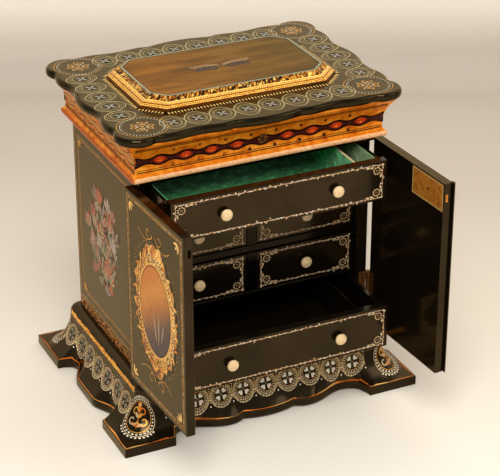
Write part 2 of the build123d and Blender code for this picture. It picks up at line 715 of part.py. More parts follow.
# Drawers: name, left and right limits, level, row height, how far out, knob places, partition, lining
divider_face = divider_thickness / 2 + side_clearance
wall_face = inside_half - side_clearance
wide = (-wall_face, wall_face)
left_half = (-wall_face, -divider_face)
right_half = (divider_face, wall_face)
pair = (-knob_place, knob_place)
drawers = (
    ("top_drawer", wide, top_row_level, top_row, top_drawer_out, pair, True, True),
    ("upper_left_drawer", left_half, upper_row_level, upper_row, 0, (-knob_place,), False, False),
    ("upper_right_drawer", right_half, upper_row_level, upper_row, 0, (knob_place,), False, False),
    ("lower_left_drawer", left_half, lower_row_level, lower_row, 0, (-knob_place,), False, False),
    ("lower_right_drawer", right_half, lower_row_level, lower_row, 0, (knob_place,), False, False),
    ("bottom_drawer", wide, floor_level, bottom_row, bottom_drawer_out, pair, True, False),
)
for name, (low_x, high_x), level, row, out_by, knobs, parted, lined in drawers:
    face = drawer_face - out_by
    foot = level + under_clearance
    head = level + row - over_clearance
    knob_level = (foot + head) / 2
    side_top = head - side_below_front
    box_front = face + front_thickness + glue_line
    box_end = back_inside - drawer_back_clearance - out_by
    inner_x = (low_x + drawer_wall + glue_line, high_x - drawer_wall - glue_line)
    inner_end = box_end - drawer_wall - glue_line
    floor_top = foot + floor_lift + drawer_floor

    # Front: a lacquered board with eased edges, bored for its knobs
    with BuildPart() as drawer_front:
        board((low_x, high_x), (face, face + front_thickness), (foot, head))
        fillet(drawer_front.faces().sort_by(Axis.Y)[0].edges(), front_edge_round)
        with BuildSketch(Plane(origin=(0, face, knob_level), x_dir=right, z_dir=front)):
            with Locations(*[(place, 0) for place in knobs]):
                Circle(shank_radius + shank_clearance)
        extrude(amount=-front_thickness, mode=Mode.SUBTRACT)
    save(drawer_front, name + "_front")

    # Box: two sides, a back and a floor, glued up behind the front
    with BuildPart() as drawer_box:
        board((low_x, low_x + drawer_wall), (box_front, box_end), (foot, side_top))
        board((high_x - drawer_wall, high_x), (box_front, box_end), (foot, side_top))
        board(inner_x, (box_end - drawer_wall, box_end), (foot, side_top))
        board(inner_x, (box_front, inner_end), (foot + floor_lift, floor_top))
    save(drawer_box, name + "_box")

    # Knobs: turned with a neck, a round head and a shank through the front
    with BuildPart() as drawer_knobs:
        for place in knobs:
            with BuildSketch(Plane(origin=(place, face, knob_level), x_dir=right, z_dir=up)):
                with BuildLine():
                    neck_end = knob_head - knob_length
                    crown = (knob_crown_radius, knob_crown - knob_length)
                    widest = (knob_radius, knob_head / 2 - knob_length)
                    Polyline((0, -knob_length), (0, front_thickness), (shank_radius, front_thickness),
                             (shank_radius, 0), (knob_neck, 0), (knob_neck, neck_end))
                    ThreePointArc((knob_neck, neck_end), widest, crown)
                    TangentArc((0, -knob_length), crown, tangent=(1, 0))
                make_face()
            revolve(axis=Axis((place, face, knob_level), (0, 1, 0)))
    save(drawer_knobs, name + "_knobs")

    # Partition: a thin upright board that parts off the right-hand end
    lining = lining_thickness if lined else 0
    if parted:
        with BuildPart() as drawer_partition:
            board((partition_place - partition_thickness / 2, partition_place + partition_thickness / 2),
                  (box_front + lining + glue_line, inner_end - lining - glue_line),
                  (floor_top + lining, side_top - partition_below_side))
        save(drawer_partition, name + "_partition")

    # Lining: green velvet paper on the floor and up the four walls
    if lined:
        wall_z = (floor_top + lining + glue_line, side_top)
        with BuildPart() as drawer_lining:
            board(inner_x, (box_front, inner_end), (floor_top, floor_top + lining))
            board(inner_x, (box_front, box_front + lining), wall_z)
            board(inner_x, (inner_end - lining, inner_end), wall_z)
            cheek_y = (box_front + lining + glue_line, inner_end - lining - glue_line)
            board((inner_x[0], inner_x[0] + lining), cheek_y, wall_z)
            board((inner_x[1] - lining, inner_x[1]), cheek_y, wall_z)
        save(drawer_lining, name + "_lining")
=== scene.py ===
"""Looks of a table-top sewing cabinet in black lacquer, inlaid with pearl and gilded, with its doors open and
two drawers drawn out. Pattern sizes are in millimetres; a chart gives each point its place on the cabinet."""

import math

import bpy
import numpy as np
from mathutils.bvhtree import BVHTree
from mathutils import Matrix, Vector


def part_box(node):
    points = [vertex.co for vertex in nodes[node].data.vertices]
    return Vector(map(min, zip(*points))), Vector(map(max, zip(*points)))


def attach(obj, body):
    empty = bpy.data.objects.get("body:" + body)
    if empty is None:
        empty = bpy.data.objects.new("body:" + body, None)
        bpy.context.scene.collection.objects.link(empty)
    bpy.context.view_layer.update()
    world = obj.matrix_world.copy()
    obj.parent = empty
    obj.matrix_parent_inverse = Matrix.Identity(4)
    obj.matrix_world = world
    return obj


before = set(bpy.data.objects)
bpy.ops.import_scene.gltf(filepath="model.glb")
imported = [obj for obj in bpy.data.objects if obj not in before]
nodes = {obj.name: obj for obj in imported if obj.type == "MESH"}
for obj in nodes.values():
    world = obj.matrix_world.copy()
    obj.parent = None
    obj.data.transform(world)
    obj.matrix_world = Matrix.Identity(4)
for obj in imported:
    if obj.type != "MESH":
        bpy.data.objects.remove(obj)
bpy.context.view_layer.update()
MM = 0.001


# Plinth and carcass ground
# Papier-mache boards under many coats of black lacquer, rubbed down and polished, with a warm brown cast.
# The lacquer covers every board of the carcass, the drawers, the doors and the lid.
def linear(red, green, blue):
    """A colour read off in 0 to 255, as the linear values that a shader takes."""
    share = np.array([red, green, blue]) / 255
    return np.where(share <= 0.04045, share / 12.92, ((share + 0.055) / 1.055) ** 2.4)


def feed(node, inputs):
    """Link each named input of a node to a socket, or set it where a plain value is given."""
    for name, value in inputs.items():
        if isinstance(value, bpy.types.NodeSocket):
            node.id_data.links.new(value, node.inputs[name])
        else:
            node.inputs[name].default_value = value


def added(near, kind, inputs=None, **settings):
    """The outputs of a new shader node, beside a node or socket, with its settings and inputs as given."""
    node = near.id_data.nodes.new("ShaderNode" + kind)
    for name, value in settings.items():
        setattr(node, name, value)
    feed(node, inputs or {})
    return node.outputs


def new_finish(name, roughness, specular=0.5):
    """A material with one shader, that shader, and its object coordinates."""
    finish = bpy.data.materials.new(name)
    finish.use_nodes = True
    shader = finish.node_tree.nodes["Principled BSDF"]
    feed(shader, {"Roughness": roughness, "Specular IOR Level": specular})
    return finish, shader, added(shader, "TexCoord")["Object"]


def noise(place, scale, detail=4, roughness=0.6):
    """Fractal noise over object coordinates; scale is in features per metre."""
    inputs = {"Vector": place, "Scale": scale, "Detail": detail, "Roughness": roughness}
    return added(place, "TexNoise", inputs)["Fac"]


def ramp(value, *stops):
    """Colours spread over a value from 0 to 1; a stop is a position and a colour in 0 to 255."""
    node = value.id_data.nodes.new("ShaderNodeValToRGB")
    bar = node.color_ramp.elements
    while len(bar) < len(stops):
        bar.new(0.5)
    for element, (position, *colour) in zip(bar, stops):
        element.position = position
        element.color = (*linear(*colour), 1)
    feed(node, {"Fac": value})
    return node.outputs["Color"]


def clouded(place, deep, light):
    """A ground that drifts between two colours."""
    return ramp(noise(place, 22), (0.3, *deep), (0.75, *light))


def spread_value(value, low, high):
    """A value from 0 to 1 mapped to a range."""
    return added(value, "MapRange", {"Value": value, "To Min": low, "To Max": high})["Result"]


def roughen(shader, height, strength, distance):
    """A bump from a height value."""
    bump = added(shader, "Bump", {"Height": height, "Strength": strength, "Distance": distance})
    feed(shader, {"Normal": bump["Normal"]})


def dress(finish, *names):
    """Give CAD nodes a finish."""
    for name in names:
        nodes[name].data.materials.clear()
        nodes[name].data.materials.append(finish)


def ease_edges(width, *names):
    """Round the sharp edges of CAD nodes by a small width: join split corners, then bevel."""
    for name in names:
        weld = nodes[name].modifiers.new("join", "WELD")
        weld.merge_threshold = 0.01 * MM
        bevel = nodes[name].modifiers.new("ease", "BEVEL")
        bevel.width = width * MM
        bevel.segments = 2
        bevel.limit_method = "ANGLE"
        bevel.angle_limit = math.radians(40)
        bevel.harden_normals = True


lacquer_metal, warm_gloss = 0.85, (1.0, 0.88, 0.68, 1)
lacquer, shader, place = new_finish("lacquer", 0.14, 0.2)
feed(shader, {
    "Base Color": clouded(place, (44, 35, 23), (58, 47, 31)),
    "Roughness": spread_value(noise(place, 60), 0.09, 0.2),
    "Metallic": lacquer_metal,
    "Specular Tint": warm_gloss,
})
roughen(shader, noise(place, 350, 2), 0.05, 0.0004)
dress(lacquer, "base_board", "plinth_cove", "carcass_bottom", "carcass_left_side", "carcass_right_side",
      "carcass_back", "carcass_top", "left_door_panel", "right_door_panel", "right_door_astragal")
ease_edges(0.8, "base_board", "left_door_panel", "right_door_panel")

# Inlay in the plinth
# Slips of pearl and lines of gilding are let into the lacquer and polished level; here they stand a hair
# proud. Each design is a flat drawing that a chart lays on one surface of the cabinet.
pearl, cool_pearl, rose_pearl = linear(226, 218, 196), linear(196, 206, 188), linear(224, 190, 176)
cream, gold, pale_gold = linear(214, 186, 142), linear(205, 148, 62), linear(234, 190, 108)
orange_gilt = linear(206, 108, 30)


def scaled(colour, value):
    """A colour made lighter or darker by a value."""
    return added(colour, "VectorMath", {"Vector": colour, "Scale": value}, operation="SCALE")["Vector"]


inlay, shader, place = new_finish("inlay", 0.3, 0.12)
tint = added(shader, "VertexColor", layer_name="tint")
shimmer = spread_value(noise(place, 520, 3), 0.45, 1.5)
feed(shader, {
    "Base Color": scaled(tint["Color"], shimmer),
    "Metallic": tint["Alpha"],
    "Specular Tint": warm_gloss,
})


def even_turns(count):
    """Angles that share out a full turn evenly."""
    return np.arange(count) * 2 * np.pi / count


def around(turns):
    """Unit steps at angles: the cosine across and the sine up."""
    return np.stack([np.cos(turns), np.sin(turns)], -1)


def circle(centre, radius, count=40, squash=1.0):
    """Points round an ellipse: the centre plus the radius times cosine, and squashed radius times sine."""
    return centre + around(even_turns(count)) * [radius, radius * squash]


def leftward(path, closed):
    """At each point of a path, the unit step square to it on its left."""
    ahead = np.roll(path, -1, 0) - np.roll(path, 1, 0) if closed else np.gradient(path, axis=0)
    ahead /= np.linalg.norm(ahead, axis=1)[:, None]
    return np.stack([-ahead[:, 1], ahead[:, 0]], 1)


def grid_faces(across, along, closed=False):
    """Faces of a grid of points laid row by row; a closed one joins its last column to its first."""
    near = np.arange(across if closed else across - 1)
    far = (near + 1) % across
    row = np.stack([near, far, far + across, near + across], 1)
    return np.concatenate([row + start * across for start in range(along - 1)])


def band(path, width, closed=False):
    """A flat ribbon: every point of the path steps half the width to each side, square to the path."""
    path = np.asarray(path, float)
    step = leftward(path, closed) * np.broadcast_to(np.asarray(width) / 2, len(path))[:, None]
    return np.concatenate([path - step, path + step]), grid_faces(len(path), 2, closed)


def ring(centre, radius, width, count=40, squash=1.0):
    """A ribbon round an ellipse."""
    return band(circle(centre, radius, count, squash), width, True)


def stamp(flat, centres, turns):
    """Copies of one small outline, each turned by its own angle and set at its own centre."""
    centres = np.atleast_2d(np.asarray(centres, float))
    turns = np.broadcast_to(turns, len(centres))
    swing = np.stack([np.cos(turns), np.sin(turns), -np.sin(turns), np.cos(turns)], 1).reshape(-1, 2, 2)
    points = centres[:, None] + flat[None] @ swing
    return points.reshape(-1, 2), np.arange(len(centres) * len(flat)).reshape(-1, len(flat))


def spots(centres, across, along=None, turns=0.0, corners=8):
    """Small ovals: half the width times cosine, and half the height times sine."""
    along = across if along is None else along
    return stamp(around(even_turns(corners)) * [across / 2, along / 2], centres, turns)


bead_corners, heart_corners = 6, 18


def beads(centres, across, along=None, turns=0.0):
    """Ovals with few corners, for long rows."""
    return spots(centres, across, along, turns, bead_corners)


def leaves(centres, length, width, turns, corners=12):
    """Pointed leaves: the width swells as the square of a sine along the length."""
    angle = even_turns(corners)
    swell = width / 2 * np.sin(angle) * np.abs(np.sin(angle))
    return stamp(np.stack([length / 2 * np.cos(angle), swell], 1), centres, turns)


def hearts(centres, size, turns):
    """Hearts with the point inward: the breadth goes as a cubed sine, the height as a sum of four cosines."""
    angle = even_turns(heart_corners)
    rise = 13 * np.cos(angle) - 5 * np.cos(2 * angle) - 2 * np.cos(3 * angle) - np.cos(4 * angle)
    return stamp(size / 30 * np.stack([rise, 16 * np.sin(angle) ** 3], 1), centres, turns)


def spiral(centre, start, end, turns, first_angle, count=40):
    """A scroll: the radius runs evenly from start to end while the angle turns."""
    share = np.linspace(0, 1, count)
    radius = start + (end - start) * share
    return centre + radius[:, None] * around(first_angle + turns * 2 * np.pi * share)


def mirrored(shape):
    """The same shape on the other side of the drawing's upright axis."""
    points, faces = shape
    return points * [-1, 1], faces[:, ::-1]


def moved(shape, step):
    """The same shape moved."""
    return shape[0] + step, shape[1]


def put(name, data):
    """A new object of the scene, at the origin."""
    piece = bpy.data.objects.new(name, data)
    bpy.context.scene.collection.objects.link(piece)
    return piece


def lay(name, body, design, chart):
    """One mesh from a design, a list of (shape, colour, metal), each laid a little higher than the last.

    A shape has one colour, or one for each of its points."""
    first_lift, lift_range = 0.1, 0.2
    points, faces, tints, lifts, start = [], [], [], [], 0
    for order, ((places, corners), colour, metal) in enumerate(design):
        count = len(places)
        points.append(places)
        faces.extend((corners + start).tolist())
        tints.append(np.column_stack([np.broadcast_to(colour, (count, 3)), np.full(count, metal)]))
        lifts.append(np.full(count, first_lift + lift_range * order / len(design)))
        start += count
    mesh = bpy.data.meshes.new(name)
    mesh.from_pydata((chart(np.concatenate(points), np.concatenate(lifts)) * MM).tolist(), [], faces)
    layer = mesh.color_attributes.new("tint", "FLOAT_COLOR", "POINT")
    layer.data.foreach_set("color", np.concatenate(tints).astype(np.float32).ravel())
    mesh.materials.append(inlay)
    piece = put(name, mesh)
    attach(piece, body)


stop_depth = 40


def cast_on(node, chart):
    """A chart that drops each point along the chart's own direction until it meets a CAD node.

    A point that meets nothing within reach stops at a set depth."""
    piece = nodes[node]
    turn = np.array(piece.matrix_world)
    places = np.array([vertex.co for vertex in piece.data.vertices]) @ turn[:3, :3].T + turn[:3, 3]
    surface = BVHTree.FromPolygons(places.tolist(), [list(face.vertices) for face in piece.data.polygons])
    reach = 0.12

    def laid(points, lifts):
        start, toward = chart(points)
        out = np.empty_like(start)
        for row, (spot, way, lift) in enumerate(zip(start, toward, lifts)):
            hit = surface.ray_cast((spot * MM).tolist(), way.tolist(), reach)
            met = np.array(hit[0]) / MM if hit[0] is not None else spot + way * stop_depth
            out[row] = met - way * lift
        return out

    return laid


half_width, half_depth = 128.0, 89.5
cove_middle, cove_centre, cove_radius = 31.0, np.array([48.0, 50.0]), 37.0
up = np.array([0.0, 0, 1])
sides = {
    "front": (np.array([0.0, -1, 0]), half_depth, half_width),
    "right": (np.array([1.0, 0, 0]), half_width, half_depth),
    "back": (np.array([0.0, 1, 0]), half_depth, half_width),
    "left": (np.array([-1.0, 0, 0]), half_width, half_depth),
}


def into_cove(facing, points):
    """The way into the hollow: its slope is that at the drawing's middle, less y over the hollow's radius."""
    slope = np.arcsin((cove_centre[1] - cove_middle) / cove_radius) - points[:, 1:] / cove_radius
    return -(np.cos(slope) * facing + np.sin(slope) * up)


def cove_chart(side):
    """Along one side of the plinth, and up its hollow: each point looks in from the hollow's centre line."""
    outward, distance, _ = sides[side]
    along = np.cross(up, outward)

    def chart(points):
        axis = outward * (distance + cove_centre[0]) + up * cove_centre[1]
        return axis + points[:, :1] * along, into_cove(outward, points)

    return chart


def corner_chart(side):
    """Round a corner of the plinth: x turns about the corner's upright axis, then runs on along a side."""
    outward, distance, half_length = sides[side]
    along = np.cross(up, outward)
    corner = outward * distance + along * half_length
    turn_radius = 20.0

    def chart(points):
        whole = points[:, :1] / turn_radius + np.pi / 4
        angle = np.clip(whole, 0, np.pi / 2)
        facing = np.cos(angle) * outward + np.sin(angle) * along
        onward = np.cos(angle) * along - np.sin(angle) * outward
        axis = corner + facing * cove_centre[0] + up * cove_centre[1]
        return axis + onward * (whole - angle) * turn_radius, into_cove(facing, points)

    return chart


def clover_roundel(centre, painted_sheen):
    """Rings of gold and of pearl beads round four pearl hearts, set crosswise, points inward.
    The hearts are scaled by a painted sheen, a painted reflection of the pearl.
    """
    turns = np.pi / 4 + even_turns(4)
    pearls = [pearl, (pearl + cool_pearl) / 2, pearl, (pearl + rose_pearl) / 2]
    arc = 11.6 * around(np.linspace(-0.9, 0.9, 14))
    lower = circle(centre, 12.3, 44)[24:43]
    return [
        (ring(centre, 10.5, 0.65), cream, 0.1),
        (beads(circle(centre, 9.1, 22), 1.3), pearl * 0.9, 0),
        (ring(centre, 7.9, 0.6), gold * 0.8, 0.2),
        (hearts(centre + 4.6 * around(turns), 5.0, turns), painted_sheen * np.repeat(pearls, heart_corners, 0), 0),
        (spots([centre], 1.2), cream, 0),
        (band(centre + arc, 0.5), pale_gold, 0.2),
        (band(centre - arc, 0.5), pale_gold, 0.2),
        (beads(lower[::2], 1.5), pearl, 0),
        (beads(lower[1::2], 1.3), pale_gold, 0.2),
    ]


roundel_step = 25.4
# The hearts are painted bright on the front and back and dull on the sides: a painted reflection of the
# pearl.
for side, count, painted_sheen in (("front", 9, 1.2), ("back", 9, 1.2), ("left", 7, 0.3), ("right", 7, 0.3)):
    design = []
    for number in range(count):
        design += clover_roundel(((number - (count - 1) / 2) * roundel_step, 1.5), painted_sheen)
    for number in range(count + 1):
        link = (number - count / 2) * roundel_step
        design.append((band([(link, -5), (link, 1), (link, 8)], 0.6), cream, 0.1))
        design.append((spots([(link, -8), (link, 10)], 1.7), pearl, 0))
    lay("plinth_roundels_" + side, "cabinet", design, cast_on("plinth_cove", cove_chart(side)))


def arabesque(size):
    """A leafy ornament, alike left and right: paired scrolls, a stem, and leaves that spring from it."""
    shapes = [band([(0, -0.9 * size), (0.02 * size, 0), (0, 0.85 * size)], 0.07 * size)]
    for height, reach, turns in ((-0.35, 0.42, 0.9), (0.3, 0.34, -0.9)):
        curl = band(spiral((reach * size, height * size), 0.42 * size, 0.08 * size, turns, np.pi), 0.1 * size)
        shapes += [curl, mirrored(curl)]
    for height, turn, length in ((-0.75, 0.5, 0.5), (-0.1, 0.9, 0.55), (0.35, 1.1, 0.5), (0.7, 1.25, 0.45)):
        spot = (0.24 * size * np.cos(turn), (height + 0.2 * np.sin(turn)) * size)
        leaf = leaves(spot, length * size, 0.24 * size, turn)
        shapes += [leaf, mirrored(leaf)]
    shapes.append(leaves((0, 0.85 * size), 0.5 * size, 0.24 * size, np.pi / 2))
    return shapes


for side in sides:
    middle = (0, -3)
    design = [
        (ring(middle, 17.6, 0.6, 64, 1.14), cream, 0.1),
        (beads(circle(middle, 15.6, 34, 1.16), 1.9), pearl * 0.9, 0),
        (ring(middle, 13.7, 0.6, 64, 1.18), gold, 0.3),
    ]
    for order, shape in enumerate(arabesque(13.5)):
        design.append((moved(shape, middle), (orange_gilt, gold, cream * 0.8)[order % 3], 0.3))
    for start in (6, 29):
        outer = circle(middle, 19.6, 46, 1.1)[start:start + 12]
        design.append((beads(outer, 1.7), pearl, 0))
    lay("plinth_medallion_" + side, "cabinet", design, cast_on("plinth_cove", corner_chart(side)))

# Gilt lines of the plinth
# A broad gilt stripe runs round under the shoulder, and a fine line follows the serpentine edge. Both are
# painted on size and burnished, so that the lacquer shows through in spots.
rng = np.random.default_rng(7)
deep_gilt, ink = linear(150, 84, 26), linear(22, 15, 12)


def palette(*colours):
    """A row of colours, each given in 0 to 255."""
    return [linear(*colour) for colour in colours]


def shades(tone, colours):
    """One colour for each tone from 0 to 1, in even steps along a row of colours."""
    stops = np.linspace(0, 1, len(colours))
    colours = np.asarray(colours)
    return np.stack([np.interp(tone, stops, colours[:, channel]) for channel in range(3)], 1)


def mottled(shape, tones, colours, metal):
    """A shape whose points each take a colour at random, from a range of tones along a row of colours."""
    return shape, shades(rng.uniform(*tones, len(shape[0])), colours), metal


def patch(low, high, across, along):
    """A grid that fills a rectangle, so that it can follow a curved surface."""
    x, y = np.meshgrid(np.linspace(low[0], high[0], across), np.linspace(low[1], high[1], along))
    return np.stack([x.ravel(), y.ravel()], 1), grid_faces(across, along)


def level_row(places, height):
    """Points side by side at one height."""
    return np.stack([places, np.full(len(places), height)], 1)


def plane_chart(origin, across, upward, way):
    """From a flat plane: the origin, plus x and y along two directions; every point looks one way."""

    def chart(points):
        start = origin + (points[:, :1] * across + points[:, 1:] * upward)
        return start, np.broadcast_to(way, start.shape)

    return chart


def shoulder_chart(side):
    """Along one side of the cabinet and straight up; each point looks in level from outside."""
    outward, distance, _ = sides[side]
    stand_off = 45
    return plane_chart(outward * (distance + stand_off), np.cross(up, outward), up, -outward)


worn_gilt = palette((120, 58, 14), (214, 126, 30), (244, 170, 52), (255, 206, 98))
stripe_low, stripe_high, nick_count = 49.2, 55, 60
for side, (_, _, half_length) in sides.items():
    stripe = patch((-half_length, stripe_low), (half_length, stripe_high), 120, 6)
    design = [mottled(stripe, (0.1, 1), worn_gilt, 0.15)]
    for edge in (stripe_low, stripe_high):
        nicks = level_row(rng.uniform(-half_length, half_length, nick_count), edge)
        design.append((spots(nicks, 4.0, 1.4), ink, lacquer_metal))
    lay("plinth_stripe_" + side, "cabinet", design, cast_on("plinth_cove", shoulder_chart(side)))


def plan_outline(node):
    """The outer outline of a node's level top: its edges that one top face alone has, chained end to end."""
    piece = nodes[node].data
    places = np.array([vertex.co for vertex in piece.vertices])
    keys = [tuple(key) for key in np.round(places / MM, 2)]
    top = places[:, 2].max()
    seen = {}
    for face in piece.polygons:
        if face.normal.z > 0.9 and all(places[corner, 2] > top - 0.01 * MM for corner in face.vertices):
            corners = [keys[corner] for corner in face.vertices]
            for first, last in zip(corners, corners[1:] + corners[:1]):
                seen.setdefault(frozenset((first, last)), []).append((first, last))
    onward = dict(uses[0] for uses in seen.values() if len(uses) == 1)
    loops = []
    while onward:
        spot = next(iter(onward))
        loop = []
        while spot in onward:
            loop.append(spot)
            spot = onward.pop(spot)
        loops.append(np.array(loop)[:, :2])
    return max(loops, key=lambda loop: np.ptp(loop[:, 0]))


# The line keeps 1 mm from the edge and is broader and rubbed on the feet. Its tone is painted lighter in
# waves along it and toward the front: painted highlights.
# It is cast straight down, and a point that misses the hollow stops at the level of the feet.
edge_step, foot_x, foot_y, foot_level = 1.5, 118, 80, 10
edge_chart = plane_chart(up * (foot_level + stop_depth), (1, 0, 0), (0, 1, 0), -up)
outline = plan_outline("base_board")
closed = np.vstack([outline, outline[:1]])
travel = np.append(0, np.cumsum(np.linalg.norm(np.diff(closed, axis=0), axis=1)))
evenly = np.linspace(0, travel[-1], round(travel[-1] / edge_step), endpoint=False)
outline = np.stack([np.interp(evenly, travel, closed[:, axis]) for axis in (0, 1)], 1)
on_foot = (np.abs(outline[:, 0]) > foot_x) & (np.abs(outline[:, 1]) > foot_y)
rubbed = 0.6 + on_foot * (0.6 + 0.5 * np.sin(evenly / 6))
edge_line = band(outline + (1 + rubbed / 2)[:, None] * leftward(outline, True), rubbed, True)
# Painted highlights: the tone is lighter in waves along the line and toward the front.
edge_tone = np.clip(0.3 + 0.3 * np.sin(edge_line[0][:, 0] / 9) - edge_line[0][:, 1] / 400, 0, 1)
edge_gilt = shades(edge_tone, [deep_gilt * 0.5, orange_gilt, pale_gold])
lay("plinth_edge_line", "cabinet", [(edge_line, edge_gilt, 0.2)], cast_on("plinth_cove", edge_chart))

# Lid board
# The lacquered board carries a painted guilloche: two waves of three lines cross between round loops, each
# with a double ring and a flower. A gilt and pearl medallion fills each corner lobe.
lid_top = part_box("lid_board")[1][2] / MM
loop_step, long_row, short_row = 26.0, (8, -87.5), (5, -130)
lid_line, lid_soft = linear(158, 140, 92), linear(116, 102, 64)


def toned(name, deep, light):
    """A copy of the lacquer, with a ground of its own between two colours."""
    finish = lacquer.copy()
    finish.name = name
    place = finish.node_tree.nodes["Texture Coordinate"].outputs["Object"]
    feed(finish.node_tree.nodes["Principled BSDF"], {"Base Color": clouded(place, deep, light)})
    return finish


dress(toned("lid_lacquer", (36, 29, 17), (48, 39, 23)), "lid_board")


def flat_chart(origin, across, upward):
    """On a flat face: the origin, plus x and y along two edges, plus the lift along the outward normal."""
    plane = plane_chart(origin, across, upward, np.cross(across, upward))

    def laid(points, lifts):
        start, outward = plane(points)
        return start + lifts[:, None] * outward

    return laid


def level_chart(level, turn=0):
    """On a level face: x and y are plan places, turned by an angle about the cabinet's middle."""
    across = np.append(around(turn), 0)
    return flat_chart((0, 0, level), across, np.cross(up, across))


def guilloche(count, row):
    """Two opposite waves of three lines along a row, with a ringed flower in each loop.

    A wave's height goes as a cosine to the power 0.6, which rounds its crests."""
    reach = count * loop_step / 2
    along = np.linspace(-reach, reach, count * 24 + 1)
    phase = along * np.pi / loop_step + (0 if count % 2 else np.pi / 2)
    curve = np.sign(np.cos(phase)) * np.abs(np.cos(phase)) ** 0.6
    design = []
    for hand in (1, -1):
        for swell, width, colour in ((11.2, 0.8, lid_soft), (13.4, 0.6, lid_soft), (15.6, 1.0, lid_line)):
            wave = row + hand * swell * curve
            design.append((band(np.stack([along, wave], 1), width), colour, 0))
    turns = np.pi / 4 + even_turns(4)
    steps = around(turns)
    for number in range(count):
        middle = np.array([(number - (count - 1) / 2) * loop_step, row])
        design += [
            (ring(middle, 9.2, 0.8), lid_line, 0),
            (ring(middle, 7.6, 0.5), lid_soft, 0),
            (leaves(middle + 3.4 * steps, 5.6, 3.2, turns), pearl * 0.34, 0),
            (leaves(middle + 4.4 * steps[:, ::-1] * [1, 0], 4.4, 1.6, 0.0), gold * 0.4, 0.2),
            (leaves(middle + 4.4 * steps[:, ::-1] * [0, 1], 4.4, 1.6, np.pi / 2), gold * 0.4, 0.2),
            (spots([middle], 1.6), cream * 0.6, 0),
        ]
    return design


for side, turn, (count, row) in (
    ("front", 0, long_row), ("right", np.pi / 2, short_row),
    ("back", np.pi, long_row), ("left", -np.pi / 2, short_row),
):
    lay("lid_guilloche_" + side, "lid", guilloche(count, row), level_chart(lid_top, turn))


def rosette(centre, size):
    """A round ornament: eight small scrolls, beads outside them and eight leaves within, about a boss."""
    design = []
    turns = even_turns(8)
    steps = around(turns)
    for number, turn in enumerate(turns):
        eye = centre + 0.68 * size * steps[number]
        curl = spiral(eye, 0.3 * size, 0.06 * size, 1.2 * (-1) ** number, turn + np.pi, 24)
        design.append((band(curl, 0.1 * size), gold * 0.7, 0.2))
    return design + [
        (leaves(centre + 0.42 * size * steps, 0.4 * size, 0.2 * size, turns), cream * 0.5, 0.1),
        (spots(centre + 0.95 * size * steps, 0.16 * size), cream * 0.6, 0),
        (spots([centre], 0.3 * size), gold * 0.8, 0.2),
    ]


medallions = []
for corner in ((1, 1), (-1, 1), (-1, -1), (1, -1)):
    centre = np.array([121.0, 85.0]) * corner
    medallions += [
        (ring(centre, 24.5, 0.9, 72), gold * 0.6, 0.2),
        (beads(circle(centre, 21.4, 40), 1.5), pearl * 0.85, 0),
        (ring(centre, 19.4, 0.5, 72), lid_soft, 0),
    ]
    medallions += rosette(centre, 12)
lay("lid_medallions", "lid", medallions, level_chart(lid_top))

# Raised panel
# A painted panel under varnish, framed by a grey-green line; its leaning sides are gilded over black, mottled
# along the top, with lines and beads below. The picture is a plain evening ground with a leafy spray.
gilt_gloss = (1.0, 0.8, 0.5, 1)


def apart(vector):
    """The three values of a vector, as X, Y and Z."""
    return added(vector, "SeparateXYZ", {"Vector": vector})


def blended(share, first, second):
    """The first colour where the share is 0, the second where it is 1, and a mix between."""
    share_input, first_input, second_input, colour_output = 0, 6, 7, 2
    inputs = {share_input: share, first_input: first, second_input: second}
    return added(share, "Mix", inputs, data_type="RGBA")[colour_output]


painted, shader, place = new_finish("painted_panel", 0.34, 0.1)
streaks = added(place, "Mapping", {"Vector": place, "Scale": (9, 34, 34)})["Vector"]
wash = noise(streaks, 1.6, 6)
sunset = ramp(wash, (0.25, 58, 34, 12), (0.46, 112, 66, 20), (0.6, 138, 87, 32), (0.8, 78, 53, 23))
dusk_air = ramp(wash, (0.25, 40, 30, 15), (0.46, 73, 54, 24), (0.6, 96, 72, 36), (0.8, 53, 47, 28))
dusk_span = {"Value": apart(place)["X"], "From Min": -90 * MM, "From Max": 90 * MM}
feed(shader, {
    "Base Color": blended(added(place, "MapRange", dusk_span)["Result"], sunset, dusk_air),
    "Metallic": 0.6,
    "Specular Tint": gilt_gloss,
})
dress(painted, "lid_panel")


def octagon(half_long, half_wide, cant):
    """Corners of a rectangle with its corners cut off, from the front's left end round."""
    return np.array([
        (cant - half_long, -half_wide), (half_long - cant, -half_wide), (half_long, cant - half_wide),
        (half_long, half_wide - cant), (half_long - cant, half_wide), (cant - half_long, half_wide),
        (-half_long, half_wide - cant), (-half_long, cant - half_wide)])


def bevel_chart(foot_a, foot_b, brow_a, brow_b):
    """Across one leaning side: x runs along its foot and y climbs from foot, 0, to brow, 1."""
    length = np.linalg.norm(foot_b - foot_a)
    outward = np.cross(foot_b - foot_a, brow_a - foot_a)
    outward /= np.linalg.norm(outward)

    def laid(points, lifts):
        share, climb = points[:, :1] / length, points[:, 1:]
        foot, brow = foot_a + share * (foot_b - foot_a), brow_a + share * (brow_b - brow_a)
        return foot + climb * (brow - foot) + lifts[:, None] * outward

    return laid


